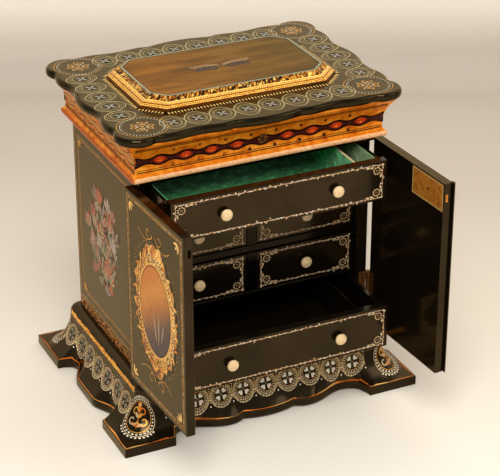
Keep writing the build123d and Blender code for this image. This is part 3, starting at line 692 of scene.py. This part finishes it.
panel_low, panel_high = (np.array(corner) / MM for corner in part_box("lid_panel"))
bevel_low, bevel_high = panel_low[2] + 2.2, panel_high[2]
brow_half, brow_cant = (94.5, 53.5), 15
panel_foot = np.column_stack([octagon(106.5, 63, 20), np.full(8, bevel_low)])
panel_brow = np.column_stack([octagon(*brow_half, brow_cant), np.full(8, bevel_high)])
rich_gilt = [ink] + palette((112, 54, 12), (206, 124, 32), (246, 186, 74), (255, 222, 132))
side_strips = (
    (0, 0.1, (0, 0.25)), (0.1, 0.3, (0.5, 0.95)), (0.3, 0.36, (0.05, 0.3)),
    (0.36, 0.52, (0.35, 0.7)), (0.52, 0.6, (0.75, 1)), (0.6, 1, (-0.8, 0.95)),
)
fringe = []
for face in range(8):
    after = (face + 1) % 8
    first, last = panel_foot[face], panel_foot[after]
    length = np.linalg.norm(last - first)
    design = []
    for low, high, tones in side_strips:
        strip = patch((0, low), (length, high), max(int(length / 1.4), 8), 4)
        design.append(mottled(strip, tones, rich_gilt, 0.15))
    bead_row = np.arange(1.2, length, 2.4)
    for climb, size, colour in ((0.2, 0.09, rich_gilt[1]), (0.44, 0.1, rich_gilt[4])):
        design.append((spots(level_row(bead_row, climb), 1.2, size), colour, 0.1))
    lay("panel_side_%d" % face, "lid", design, bevel_chart(first, last, panel_brow[face], panel_brow[after]))
    onward = (last - first)[:2] / length
    outward = np.array([onward[1], -onward[0]])
    base = first[:2] + np.arange(1.2, length - 0.6, 3.4)[:, None] * onward
    turn = np.arctan2(outward[1], outward[0])
    fringe.append((leaves(base + outward * 2.5, 4.4, 1.7, turn), pale_gold, 0))
    fringe.append((spots(base + outward * 5.4, 0.9), cream, 0))
lay("panel_fringe", "lid", fringe, level_chart(lid_top))

picture = []
frame_green, frame_light = linear(104, 108, 82), linear(168, 160, 124)
for inset, width, colour in ((1.6, 2.6, frame_green), (1.6, 0.8, frame_light), (3.6, 0.5, ink)):
    run = octagon(brow_half[0] - inset, brow_half[1] - inset, brow_cant - 0.4 * inset)
    path = np.concatenate([np.linspace(run[corner], run[(corner + 1) % 8], 8)[:-1] for corner in range(8)])
    picture.append((band(path, width, True), colour, 0))
spray_brown, spray_light = linear(44, 30, 18), linear(132, 100, 58)
for hand in (1, -1):
    stem = np.stack([np.linspace(0, 34, 24) * hand, 4 * np.sin(np.linspace(0, 2.6, 24)) - 4], 1)
    stem = stem if hand > 0 else stem[::-1]
    picture.append((band(stem, 0.7), spray_brown, 0))
    for number in range(9):
        lean = (-1) ** number
        leaf = leaves(stem[2 * number + 3] + [0, 4.0 * lean], 11, 4.4, 0.7 * lean * hand)
        picture.append((leaf, spray_brown if number % 2 else spray_light, 0))
lay("panel_picture_lines", "lid", picture, level_chart(panel_high[2]))


# Frieze
# The cove round the well is gilded amber and varnished, with black dots, fine double lines and a ribbon that
# swells round lozenges: dark on the long sides, and golden and more metallic on the short ones, a painted
# highlight. Its foot is a beaded moulding. Its inner faces, round the well, are plain.
def computed(operation, *values):
    """The result of one sum or comparison."""
    return added(values[0], "Math", dict(enumerate(values)), operation=operation)["Value"]


gilded, shader, place = new_finish("gilded_frieze", 0.3, 0.2)
amber = ramp(noise(place, 120, 5), (0.3, 176, 78, 6), (0.5, 220, 122, 20), (0.72, 240, 160, 50))
well_reach = {"X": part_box("frieze_right")[0][0], "Y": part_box("frieze_back")[0][1]}
plain_inside = (*linear(44, 34, 22), 1)
parts = apart(place)
within = []
for axis, reach in well_reach.items():
    from_middle = computed("ABSOLUTE", parts[axis])
    within.append(computed("LESS_THAN", from_middle, reach + 0.2 * MM))
feed(shader, {
    "Base Color": blended(computed("MULTIPLY", *within), amber, plain_inside),
    "Metallic": 0.35,
    "Specular Tint": gilt_gloss,
})
dress(gilded, "frieze_front", "frieze_back", "frieze_left", "frieze_right")
frieze_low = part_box("frieze_front")[0][2] / MM
ribbon_level, swell_step = frieze_low + 20.3, 27.0
maroon = palette((16, 8, 8), (46, 16, 12), (92, 34, 16))
side_ribbon_painted_highlight = palette((120, 52, 6), (214, 130, 30), (240, 176, 60))
lozenge, ember = linear(190, 58, 16), linear(240, 130, 44)
long_look = maroon, lozenge, palette((226, 150, 92), (238, 196, 150)), cream, 0
# The short sides' golden, more metallic ribbon, lozenges and foot are a painted highlight.
short_look = side_ribbon_painted_highlight, side_ribbon_painted_highlight[1], palette((150, 46, 0), (226, 104, 8)), orange_gilt, 0.6


def swell(along):
    """Half the ribbon's height: a mean, plus a cosine once in each step."""
    return 3.9 + 1.5 * np.cos(2 * np.pi * along / swell_step)


for side, (_, _, half_length) in sides.items():
    ribbon, core, foot_tones, bead, metal = long_look if side in ("front", "back") else short_look
    reach = half_length + 6
    along = np.linspace(-reach, reach, 240)
    places, faces = patch((-reach, -1), (reach, 1), 240, 7)
    places[:, 1] = ribbon_level + places[:, 1] * swell(places[:, 0])
    design = [mottled((places, faces), (0, 1), ribbon, metal)]
    for hand in (1, -1):
        edge = np.stack([along, ribbon_level + hand * swell(along)], 1)
        design.append((band(edge, 1.4), ink, lacquer_metal))
    half_count = math.floor(reach / swell_step)
    middles = np.arange(-half_count, half_count + 1) * swell_step
    between = middles[:-1] + swell_step / 2
    # The escutcheon takes the middle of the front.
    middles = middles[middles != 0] if side == "front" else middles
    for wide, tall, colour in ((14, 7.0, core), (7, 4.2, ember)):
        design.append((leaves(level_row(middles, ribbon_level), wide, tall, 0.0), colour, 0))
    for step, tall in ((1.6, 3.4), (5.0, 4.0), (-1.6, 3.4), (-5.0, 4.0)):
        design.append((spots(level_row(middles + step, ribbon_level), 0.9, tall), maroon[1], 0))
    for height in (8.6, -7.6):
        for size, colour in ((3.4, ink), (1.5, ember)):
            design.append((spots(level_row(between, ribbon_level + height), size), colour, 0))
    for height, width, past in ((9.3, 0.9, 4), (11.2, 0.6, 4), (33.6, 0.6, 12), (35.4, 0.9, 12)):
        low, high = frieze_low + height - width / 2, frieze_low + height + width / 2
        line = patch((-half_length - past, low), (half_length + past, high), 60, 3)
        design.append((line, ink, lacquer_metal))
    foot_end = half_length + 7.6
    foot = patch((-foot_end, frieze_low + 0.5), (foot_end, frieze_low + 5.2), 90, 5)
    design.append(mottled(foot, (0, 1), foot_tones, metal))
    bead_row = level_row(np.arange(-reach, reach, 3.2), frieze_low + 2.8)
    design.append((spots(bead_row, 2.0, 2.6), bead, 0))
    lay("frieze_ribbon_" + side, "cabinet", design, cast_on("frieze_" + side, shoulder_chart(side)))

# Carcass sides
# Each side has a border of gilt slips, a frame of two beaded lines inside it, a speckled gilt strip along the
# bottom, and a spray of long-petalled flowers in cream, rose and orange with green leaves, painted in thin
# layers over the lacquer.
leaf_green, grey_green = linear(74, 86, 46), linear(108, 112, 80)
dusk, rose, coral, plum = palette((170, 148, 112), (158, 88, 62), (182, 96, 50), (98, 50, 40))
border_mix = [gold * 0.8, cream * 0.8, deep_gilt, dusk]


def fan_flower(centre, size, turn, outer, inner):
    """A flower seen from the side: long petals fan out from its foot, each with a darker vein."""
    design = []
    for spread, length, colour in (
        (0.8, 0.75, outer), (-0.8, 0.75, outer), (0.42, 0.9, inner), (-0.42, 0.9, inner), (0, 1, outer),
    ):
        way = around(turn + spread)
        petal = leaves(centre + way * size * length / 2, size * length, size * 0.3, turn + spread)
        design.append((petal, colour, 0))
        design.append((band([centre, centre + way * size * length * 0.7], 0.6), colour * 0.45, 0))
    return design


def blossom(centre, size, petals, outer, inner):
    """A flower seen from the front: two rounds of oval petals about a centre, and a cluster of beads."""
    design = []
    for share, colour, shift in ((0.62, outer, 0), (0.36, inner, np.pi / petals)):
        turns = shift + even_turns(petals)
        spot = centre + share * size / 2 * around(turns)
        design.append((spots(spot, share * size * 0.8, share * size * 0.62, turns, 10), colour, 0))
    design.append((beads(circle(centre, size * 0.07, 5), size * 0.1), pale_gold, 0.2))
    return design


def scattered(count, half_wide, least):
    """Random places in an upright oval: the radius is the root of an even share, which fills it evenly."""
    half_tall = 50
    angle = rng.uniform(0, 2 * np.pi, count)
    radius = np.sqrt(rng.uniform(least, 1, count))
    return radius[:, None] * [half_wide, half_tall] * around(angle)


def spray():
    """A spray: scattered leaves, rows of flowers, two blossoms over them, then narrow leaves."""
    design = []
    for colour, count in ((leaf_green, 46), (grey_green, 34), (plum, 20)):
        spot = scattered(count, 37, 0.05)
        turns = np.arctan2(spot[:, 1] + 30, spot[:, 0]) + rng.normal(0, 0.5, count)
        design.append((leaves(spot, 13, 4.2, turns), colour, 0))
    paints = [dusk, rose, coral, rose_pearl * 0.6, dusk * 0.7, plum]
    for row, height in enumerate(np.arange(-54, 48, 11.5)):
        breadth = 30 * np.sqrt(1 - (height + 3) ** 2 / 58 ** 2)
        for place_x in np.arange(-breadth, breadth + 1, 14.0) + 4 * (-1) ** row:
            centre = (place_x + rng.normal(0, 2), height + rng.normal(0, 3))
            outer, inner = rng.integers(0, len(paints), 2)
            lean = np.pi / 2 - place_x / 60 + rng.normal(0, 0.2)
            design += fan_flower(centre, rng.uniform(11, 20), lean, paints[outer], paints[inner])
    design += blossom((-4, 10), 19, 8, rose, dusk)
    design += blossom((9, -24), 17, 7, coral, rose)
    for colour, count in ((dusk * 1.2, 44), (leaf_green, 34), (coral, 26)):
        spot = scattered(count, 33, 0)
        design.append((leaves(spot, 13, 1.9, np.pi / 2 + rng.normal(0, 0.4, count)), colour, 0))
    return design


def edges(low, high):
    """The four edges of a rectangle, each as its two ends, from the lower left corner round."""
    corners = np.array([low, (high[0], low[1]), high, (low[0], high[1])])
    return list(zip(corners, np.roll(corners, -1, 0)))


def beaded(first, last, step, size, colours):
    """A row of small slips, a little uneven in place and turn, each in one of the colours."""
    count = max(int(np.linalg.norm(last - first) / step), 2)
    centres = first + np.linspace(0, 1, count)[:, None] * (last - first)
    centres += rng.normal(0, 0.16 * step, centres.shape)
    slip_colours = np.asarray(colours)[rng.integers(0, len(colours), count)]
    slips = beads(centres, size, size * 0.7, rng.uniform(0, 3, count))
    return slips, np.repeat(slip_colours, bead_corners, 0), 0


def framed(low, high, inset, colours):
    """A border inside a rectangle: an outer line, a row of slips, and an inner line."""
    design = []
    for step, has_slips in ((0, False), (1.7, True), (3.4, False)):
        for first, last in edges(low + inset + step, high - inset - step):
            if has_slips:
                design.append(beaded(first, last, 2.1, 2.2, colours))
            else:
                design.append((band(np.linspace(first, last, 6), 0.6), colours[0], 0.1))
    return design


def fan(corner, middle, size, colour):
    """Leaves that fan out of a border's corner toward the middle."""
    turns = np.arctan2(*(np.sign(middle - corner)[::-1])) + np.array([-0.6, 0, 0.6])
    return leaves(corner + size * 0.6 * around(turns), size, size * 0.32, turns), colour, 0.2


strip_low, strip_high, board_top, half_board, board_shift = 60.8, 71, 275.5, 84.5, 5
spray_shift, spray_height, fan_inset, grain_count = 11, 168, 16, 700
for side, hand in (("left", -1), ("right", 1)):
    low = np.array([board_shift * hand - half_board, strip_high])
    high = np.array([board_shift * hand + half_board, board_top])
    design = framed(low, high, 1.2, border_mix)
    for inset, thick in ((12.0, 0.6), (14.2, 0.9)):
        for first, last in edges(low + inset, high - inset):
            design.append((band(np.linspace(first, last, 6), thick), border_mix[0], 0.1))
            design.append(beaded(first, last, 3.1, 1.3, border_mix))
    grain_x = rng.uniform(low[0], high[0], grain_count)
    grains = np.stack([grain_x, rng.uniform(strip_low, strip_high, grain_count)], 1)
    grain_colours = np.array([2.0, 1.5, 1.2]) * np.asarray(border_mix)[rng.integers(0, 4, grain_count)]
    specks = beads(grains, 2.0, 1.2, rng.uniform(0, 3, grain_count))
    design.append((specks, np.repeat(grain_colours, bead_corners, 0), 0.1))
    for shape, colour, metal in spray():
        design.append((moved(shape, (spray_shift * hand, spray_height)), colour, metal))
    for corner_x in (low[0] + fan_inset, high[0] - fan_inset):
        for corner_y in (low[1] + fan_inset, high[1] - fan_inset):
            design.append(fan((corner_x, corner_y), (low + high) / 2, 8, gold))
    chart = flat_chart((hand * half_width, 0, 0), (0, hand, 0), (0, 0, 1))
    lay("side_ornament_" + side, "cabinet", design, chart)

# Doors
# A lacquered board with a border. On the outside an oval picture sits in a painted gilt cartouche of curls
# with dark shades and specks; the picture is a plain evening ground with reeds. Inner faces are plain.
oval, rim = np.array([34.0, 48.0]), np.array([45.0, 61.0])
doors = {"left": (87.5, -1), "right": (93.0, 1)}
hinge_out, hinge_depth, face_offset = 130.6, -79.75, 9.75
door_start, door_end = 2.6, 130.2
door_low, door_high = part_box("left_door_panel")[0][2] / MM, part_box("left_door_panel")[1][2] / MM
corner_ways = np.array([(1, 1), (1, -1), (-1, 1), (-1, -1)])


def cartouche():
    """A gilt frame: between an oval and a lobed edge its tone follows waves that turn across the frame.

    Curls and leaves lie on it, the oval picture inside it, and a trail of specks and four tails outside."""
    steps, rows = 220, 12
    turn, share = (grid.ravel() for grid in np.meshgrid(even_turns(steps), np.linspace(0, 1, rows)))
    lobes = 1 + 0.035 * np.cos(9 * turn + 1) + 0.02 * np.cos(23 * turn) + 0.17 * np.abs(np.sin(turn)) ** 10
    moulding = (oval + share[:, None] * (rim * lobes[:, None] - oval)) * around(turn)
    tone = 0.5 + 0.3 * np.sin(15 * turn + 7 * share) * np.cos(6 * share + 2 * np.sin(5 * turn))
    tone += 0.14 * np.cos(turn - 0.4) - 0.08 + rng.normal(0, 0.2, len(tone))
    gilt = palette((40, 18, 6), (142, 72, 18), (208, 126, 34), (244, 184, 78), (255, 222, 146))
    shadow = moulding[-steps:] * 1.06 + [1.8, 1.2]
    design = [
        ((shadow, np.arange(steps)[None, :]), ink, lacquer_metal),
        ((moulding, grid_faces(steps, rows, True)[:, ::-1]), shades(np.clip(tone, 0, 1), gilt), 0.1),
    ]
    curl_count = 26
    for number in range(curl_count):
        angle = (number + 0.5) * 2 * np.pi / curl_count
        swing = (-1) ** number
        curl = spiral((oval + rim) / 2 * around(angle), 5.6, 0.8, 1.15 * swing, angle + np.pi / 2, 26)
        leaf = leaves(rim * 1.03 * around(angle), 8, 3.2, angle + 0.7 * swing)
        design += [
            (band(curl + [0.5, -0.6], 1.7), gilt[0], 0),
            (band(curl, 1.0), gilt[4] if np.cos(angle - 0.5) > 0.2 else gilt[3], 0.1),
            (leaf, gilt[2 + number % 2], 0.1),
        ]
    steps, rows = 60, 11
    turn, radius = (grid.ravel() for grid in np.meshgrid(even_turns(steps), np.linspace(1, 0, rows)))
    ground = oval * radius[:, None] * around(turn)
    glow = np.clip(0.5 + ground[:, 1] / 80 - ground[:, 0] / 130 + rng.normal(0, 0.04, len(turn)), 0, 1)
    evening = palette((70, 52, 46), (98, 70, 52), (168, 100, 40), (206, 132, 48), (196, 116, 36))
    design.append(((ground, grid_faces(steps, rows, True)), shades(glow, evening), 0))
    reed = linear(168, 140, 108)
    for foot, tip, width in (((2, -34), (-5, -2), 3.0), ((6, -36), (8, 2), 2.6), ((12, -30), (18, -6), 2.2)):
        foot, tip = np.array(foot, float), np.array(tip, float)
        lean = np.arctan2(*(tip - foot)[::-1])
        design.append((leaves((foot + tip) / 2, np.linalg.norm(tip - foot), width, lean), reed, 0))
    middle, tall, trail_count = (0, 0), oval[1] / oval[0], 90
    trail = circle(middle, rim[0] * 1.16, trail_count, 1.38) + rng.normal(0, 0.6, (trail_count, 2))
    trail_colours = np.repeat(np.resize(border_mix, (trail_count, 3)), bead_corners, 0) * 1.3
    design += [
        (ring(middle, oval[0] * 1.02, 1.3, 90, tall), gilt[3], 0.1),
        (beads(circle(middle, oval[0] * 1.08, 70, 1.38), 1.2), gilt[4], 0),
        (ring(middle, oval[0] * 0.975, 0.9, 90, tall), gilt[0], 0),
        (beads(trail, 1.2), trail_colours, 0),
    ]
    for hand in (1, -1):
        for height, rise in ((80, 1), (-80, -1)):
            curl = band(spiral((11, height), 8, 1.2, 0.9 * rise, np.pi, 30), 0.9)
            bow = height - rise * (3 + 7 * np.sin(np.linspace(0, 3, 16)))
            tail = band(np.stack([np.linspace(3, 34, 16), bow], 1), 0.8)
            for shape in (curl, tail):
                design.append((shape if hand > 0 else mirrored(shape), gold, 0.2))
    return design


def door_lines(opening, hand):
    """A door's hinge, the way from it along the door at that opening, and the way out of its outer face."""
    angle = math.radians(opening)
    along = np.array([-hand * math.cos(angle), -math.sin(angle), 0])
    outward = np.array([hand * math.sin(angle), -math.cos(angle), 0])
    return np.array([hand * hinge_out, hinge_depth, 0]), along, outward


for side, (opening, hand) in doors.items():
    hinge, along, outward = door_lines(opening, hand)
    face = hinge + outward * face_offset + along * (door_start + door_end) / 2
    face[2] = (door_low + door_high) / 2
    half = np.array([(door_end - door_start) / 2, (door_high - door_low) / 2])
    design = framed(-half, half, 4, border_mix) + cartouche()
    design += [fan((half - 10) * corner, (0, 0), 10, pale_gold) for corner in corner_ways]
    lay("door_ornament_" + side, side + "_door", design, flat_chart(face, -hand * along, (0, 0, 1)))


# Drawers
# Lacquered fronts with a border of uneven pearl and cream slips on a fine gilt line, and a beaded ring with
# leaves in each corner. The boxes are lacquered inside and out; faces that look up are duller and darker,
# a painted shade of the drawers' insides and top edges.
def looking_up(shader):
    """How far a face looks up: the Z of its normal."""
    return apart(added(shader, "NewGeometry")["Normal"])["Z"]


drawer_lacquer = lacquer.copy()
drawer_lacquer.name = "drawer_lacquer"
shader = drawer_lacquer.node_tree.nodes["Principled BSDF"]
ground = shader.inputs["Base Color"].links[0].from_socket
# Painted shade: faces that look up are darker and less metallic.
feed(shader, {
    "Base Color": scaled(ground, spread_value(looking_up(shader), 1, 0.2)),
    "Metallic": spread_value(looking_up(shader), lacquer_metal, 0.3),
})
# The shelves and dividers between the drawers take a darker lacquer: painted shade between the drawers.
rail_lacquer_painted_shade = toned("rail_lacquer_painted_shade", (24, 19, 13), (34, 27, 18))
dress(rail_lacquer_painted_shade, "shelf_lower", "shelf_middle", "shelf_upper", "centre_dividers")

slip_mix = [pearl * 0.75, cream * 0.9, cream * 0.7, rose_pearl * 0.6, cream * 0.5]
border_inset = np.array([5, 3.6])
drawers = ("top_drawer", "upper_left_drawer", "upper_right_drawer", "lower_left_drawer", "lower_right_drawer",
           "bottom_drawer")
for name in drawers:
    dress(drawer_lacquer, name + "_front", name + "_box")
    low, high = (np.array(corner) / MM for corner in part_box(name + "_front"))
    border_low, border_high = low[[0, 2]] + border_inset, high[[0, 2]] - border_inset
    design = []
    for first, last in edges(border_low, border_high):
        design.append((band(np.linspace(first, last, 8), 0.8), deep_gilt, 0.2))
        design.append(beaded(first, last, 1.8, 1.7, slip_mix))
        design.append(beaded(first, last, 5.4, 2.2, slip_mix[:3]))
    for way in corner_ways:
        corner = np.where(way > 0, border_low, border_high)
        eye = corner + way * [6.2, 6.0]
        design += [
            (ring(eye, 3.4, 0.6, 24), deep_gilt, 0.1),
            (beads(circle(eye, 3.6, 9), 1.9, 1.4), cream * 0.9, 0),
            (beads(circle(eye, 1.0, 3), 1.0), cream * 0.6, 0),
        ]
        for run in ((12, 2.0), (16.5, 1.6), (2.0, 11.5)):
            lean = np.arctan2(*(way * run)[::-1])
            design.append((leaves(corner + way * run, 5.0, 2.0, lean), cream * 0.75, 0))
    lay(name + "_border", name, design, flat_chart((0, low[1], 0), (1, 0, 0), (0, 0, 1)))

# Knobs
# Turned bone, cream with faint darker growth lines, polished. Each knob's shank goes through a hole in the
# drawer's front.
bone, shader, place = new_finish("bone", 0.32)
feed(shader, {
    "Base Color": ramp(noise(place, 700, 5), (0.3, 186, 152, 104), (0.6, 224, 198, 152)),
    "Subsurface Weight": 0.15,
    "Subsurface Radius": (0.002, 0.0012, 0.0008),
})
dress(bone, *[name + "_knobs" for name in drawers])

# Linings
# Deep green crushed velvet is glued into the top drawer and the well, and over the top drawer's partition up
# to its bare wooden edge; the lid has lining paper. The other partitions are lacquered.
partition_x = 90


def crushed_velvet(name):
    """Velvet whose pile lies in patches of light and dark, faded beyond the drawer's partition."""
    finish, shader, place = new_finish(name, 0.9, 0.15)
    pile = noise(place, 110, 6, 0.75)
    green = ramp(pile, (0.34, 4, 84, 36), (0.46, 14, 146, 66), (0.56, 44, 190, 100), (0.68, 160, 240, 190))
    faded = ramp(pile, (0.34, 50, 104, 44), (0.55, 120, 160, 88), (0.68, 180, 206, 146))
    beyond = computed("GREATER_THAN", apart(place)["X"], partition_x * MM)
    cloth = blended(beyond, green, faded)
    feed(shader, {"Base Color": cloth, "Sheen Weight": 0.4})
    roughen(shader, noise(place, 900, 4), 0.4, 0.0006)
    return finish, shader, cloth


velvet = crushed_velvet("velvet")[0]
dress(velvet, "top_drawer_lining", "well_lining")

covered, shader, cloth = crushed_velvet("velvet_and_edge")
on_top = computed("GREATER_THAN", looking_up(shader), 0.5)
bare_wood = (*linear(186, 162, 112), 1)
feed(shader, {"Base Color": blended(on_top, cloth, bare_wood)})
dress(covered, "top_drawer_partition")
dress(lacquer, "bottom_drawer_partition", "well_dividers")

paper, shader, place = new_finish("lining_paper", 0.8, 0.2)
fibres = ramp(noise(place, 300, 6), (0.3, 120, 96, 62), (0.7, 150, 124, 84))
feed(shader, {"Base Color": fibres})
dress(paper, "lid_lining")

# Brass
# Locks and the bolt are cast and filed brass, dulled by handling; hinge leaves, pins and the escutcheon are
# brass that has blackened. The door lock's plate has a filed rim, a keyhole and four screws; the keyhole is a
# dark spot, painted shade of the hole.
brass, shader, place = new_finish("brass", 0.34)
feed(shader, {
    "Base Color": ramp(noise(place, 180, 6), (0.3, 172, 98, 24), (0.7, 222, 150, 56)),
    "Roughness": spread_value(noise(place, 420, 4), 0.25, 0.5),
    "Metallic": 0.55,
})
old_brass, shader, place = new_finish("old_brass", 0.4)
feed(shader, {
    "Base Color": ramp(noise(place, 420, 5), (0.35, 56, 34, 16), (0.7, 140, 92, 40)),
    "Metallic": 0.7,
})
for finish, words in ((brass, ("lock", "bolt")), (old_brass, ("leaves", "pins", "escutcheon"))):
    dress(finish, *[name for name in nodes if any(word in name for word in words)])

lock_low, lock_high = (np.array(corner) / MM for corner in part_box("right_door_lock"))
hinge, along, outward = door_lines(*doors["right"])
plate_near, plate_far = (hinge[1] - lock_high[1]) / -along[1], (hinge[1] - lock_low[1]) / -along[1]
stand_off = 30
plate_chart = plane_chart(hinge - stand_off * outward, along, up, outward)
pale_brass, dark_brass = linear(206, 178, 112), linear(66, 34, 12)
rim_inset = 1
low = np.array([plate_near, lock_low[2]]) + rim_inset
high = np.array([plate_far, lock_high[2]]) - rim_inset
middle = (low + high) / 2
plate = [(band(np.linspace(first, last, 8), 1.1), pale_brass, 0.3) for first, last in edges(low, high)]
# The keyhole: a dark spot, painted shade of the hole.
plate.append((spots([middle], 3.6, 2.6), dark_brass, 0))
for step in ((-0.36, 0.3), (0.36, 0.3), (-0.36, -0.3), (0.36, -0.3)):
    plate.append((spots([middle + (high - low) * step], 2.2), dark_brass * 2, 0.3))
lay("lock_plate_marks", "right_door", plate, cast_on("right_door_lock", plate_chart))

# Stage
# A pale paper sweep: level floor, a soft bend, and a wall behind, square to the view. Its colour is a painted
# falloff of the light: darkest at the foot of the wall, paler toward the camera and up the wall, and darker
# to the right. From behind it is clear, so that the cabinet's back can be looked at too.
camera_place = np.array([-721.51, -1582.17, 1031.0]) * MM
camera_target = np.array([-82.75, -240.66, 279.63]) * MM
view_way = camera_target - camera_place
view_way[2] = 0
view_way /= np.linalg.norm(view_way)
view_side = np.array([view_way[1], -view_way[0], 0])
floor_start, bend_start, bend_radius, wall_height, half_wide = -3.5, 0.76, 0.06, 2.4, 4.0
bend = np.linspace(0, np.pi / 2, 16)
profile = np.concatenate([
    [(floor_start, 0.0)],
    np.stack([bend_start + bend_radius * np.sin(bend), bend_radius * (1 - np.cos(bend))], 1),
    [(bend_start + bend_radius, wall_height)],
])
rows = [profile[:, :1] * view_way + profile[:, 1:] * up + side * half_wide * view_side for side in (-1, 1)]
sweep = bpy.data.meshes.new("sweep")
sweep.from_pydata(np.concatenate(rows).tolist(), [], grid_faces(len(profile), 2)[:, ::-1].tolist())
sweep.shade_smooth()
floor_finish, shader, place = new_finish("sweep_paper", 0.75, 0.2)
# Painted light falloff: the paper is darkest at the foot of the wall and darker to the right.
painted_falloff_way = (*(view_way[:2] + 0.2 * view_side[:2]), -9.5)
painted_falloff = added(place, "VectorMath", {0: place, 1: painted_falloff_way}, operation="DOT_PRODUCT")["Value"]
depth = added(painted_falloff, "MapRange", {"Value": painted_falloff, "From Min": -1.2, "From Max": 0.9})["Result"]
pale = ramp(depth, (0.1, 255, 250, 242), (0.4, 240, 235, 224), (0.66, 211, 203, 190),
            (0.81, 190, 181, 169), (0.97, 186, 177, 165))
feed(shader, {"Base Color": pale})
one_sided = added(shader, "MixShader", {
    "Fac": added(shader, "NewGeometry")["Backfacing"],
    1: shader.outputs["BSDF"],
    2: added(shader, "BsdfTransparent")["BSDF"],
})
feed(floor_finish.node_tree.nodes["Material Output"], {"Surface": one_sided["Shader"]})
sweep.materials.append(floor_finish)
sweep_piece = put("sweep", sweep)

# Light
# A large soft box from the upper left, a weaker one from the right front, and an even pale surround.
world = bpy.data.worlds.new("studio")
world.use_nodes = True
surround = world.node_tree.nodes["Background"]
feed(surround, {"Color": (1.0, 0.97, 0.93, 1), "Strength": 0.42})
bpy.context.scene.world = world


def aimed(name, data, place, target):
    """A new lamp or camera that looks at a target: tipped by its sight's angle from upright, then turned."""
    way = np.array(place) - np.array(target)
    holder = put(name, data)
    holder.location = place
    tip = math.acos(way[2] / np.linalg.norm(way))
    holder.rotation_euler = (tip, 0, math.atan2(way[1], way[0]) + math.pi / 2)
    return holder


for name, spot, size, power, colour in (
    ("key", (-0.7, -1.6, 2.3), 1.5, 72, (1.0, 0.96, 0.91)),
    ("fill", (1.6, -1.3, 1.6), 1.4, 14, (1.0, 0.96, 0.92)),
):
    lamp = bpy.data.lights.new(name, "AREA")
    lamp.shape = "SQUARE"
    lamp.size = size
    lamp.energy = power
    lamp.color = colour
    aimed(name, lamp, spot, (0, 0, 0.15))

# Camera
# At the photo's own place, fitted to the cabinet's corners and edges.
lens = bpy.data.cameras.new("camera")
lens.sensor_width = 36
lens.lens = 133.96
lens.clip_end = 20
bpy.context.scene.camera = aimed("camera", lens, camera_place, camera_target)
bpy.context.scene.view_settings.view_transform = "Standard"
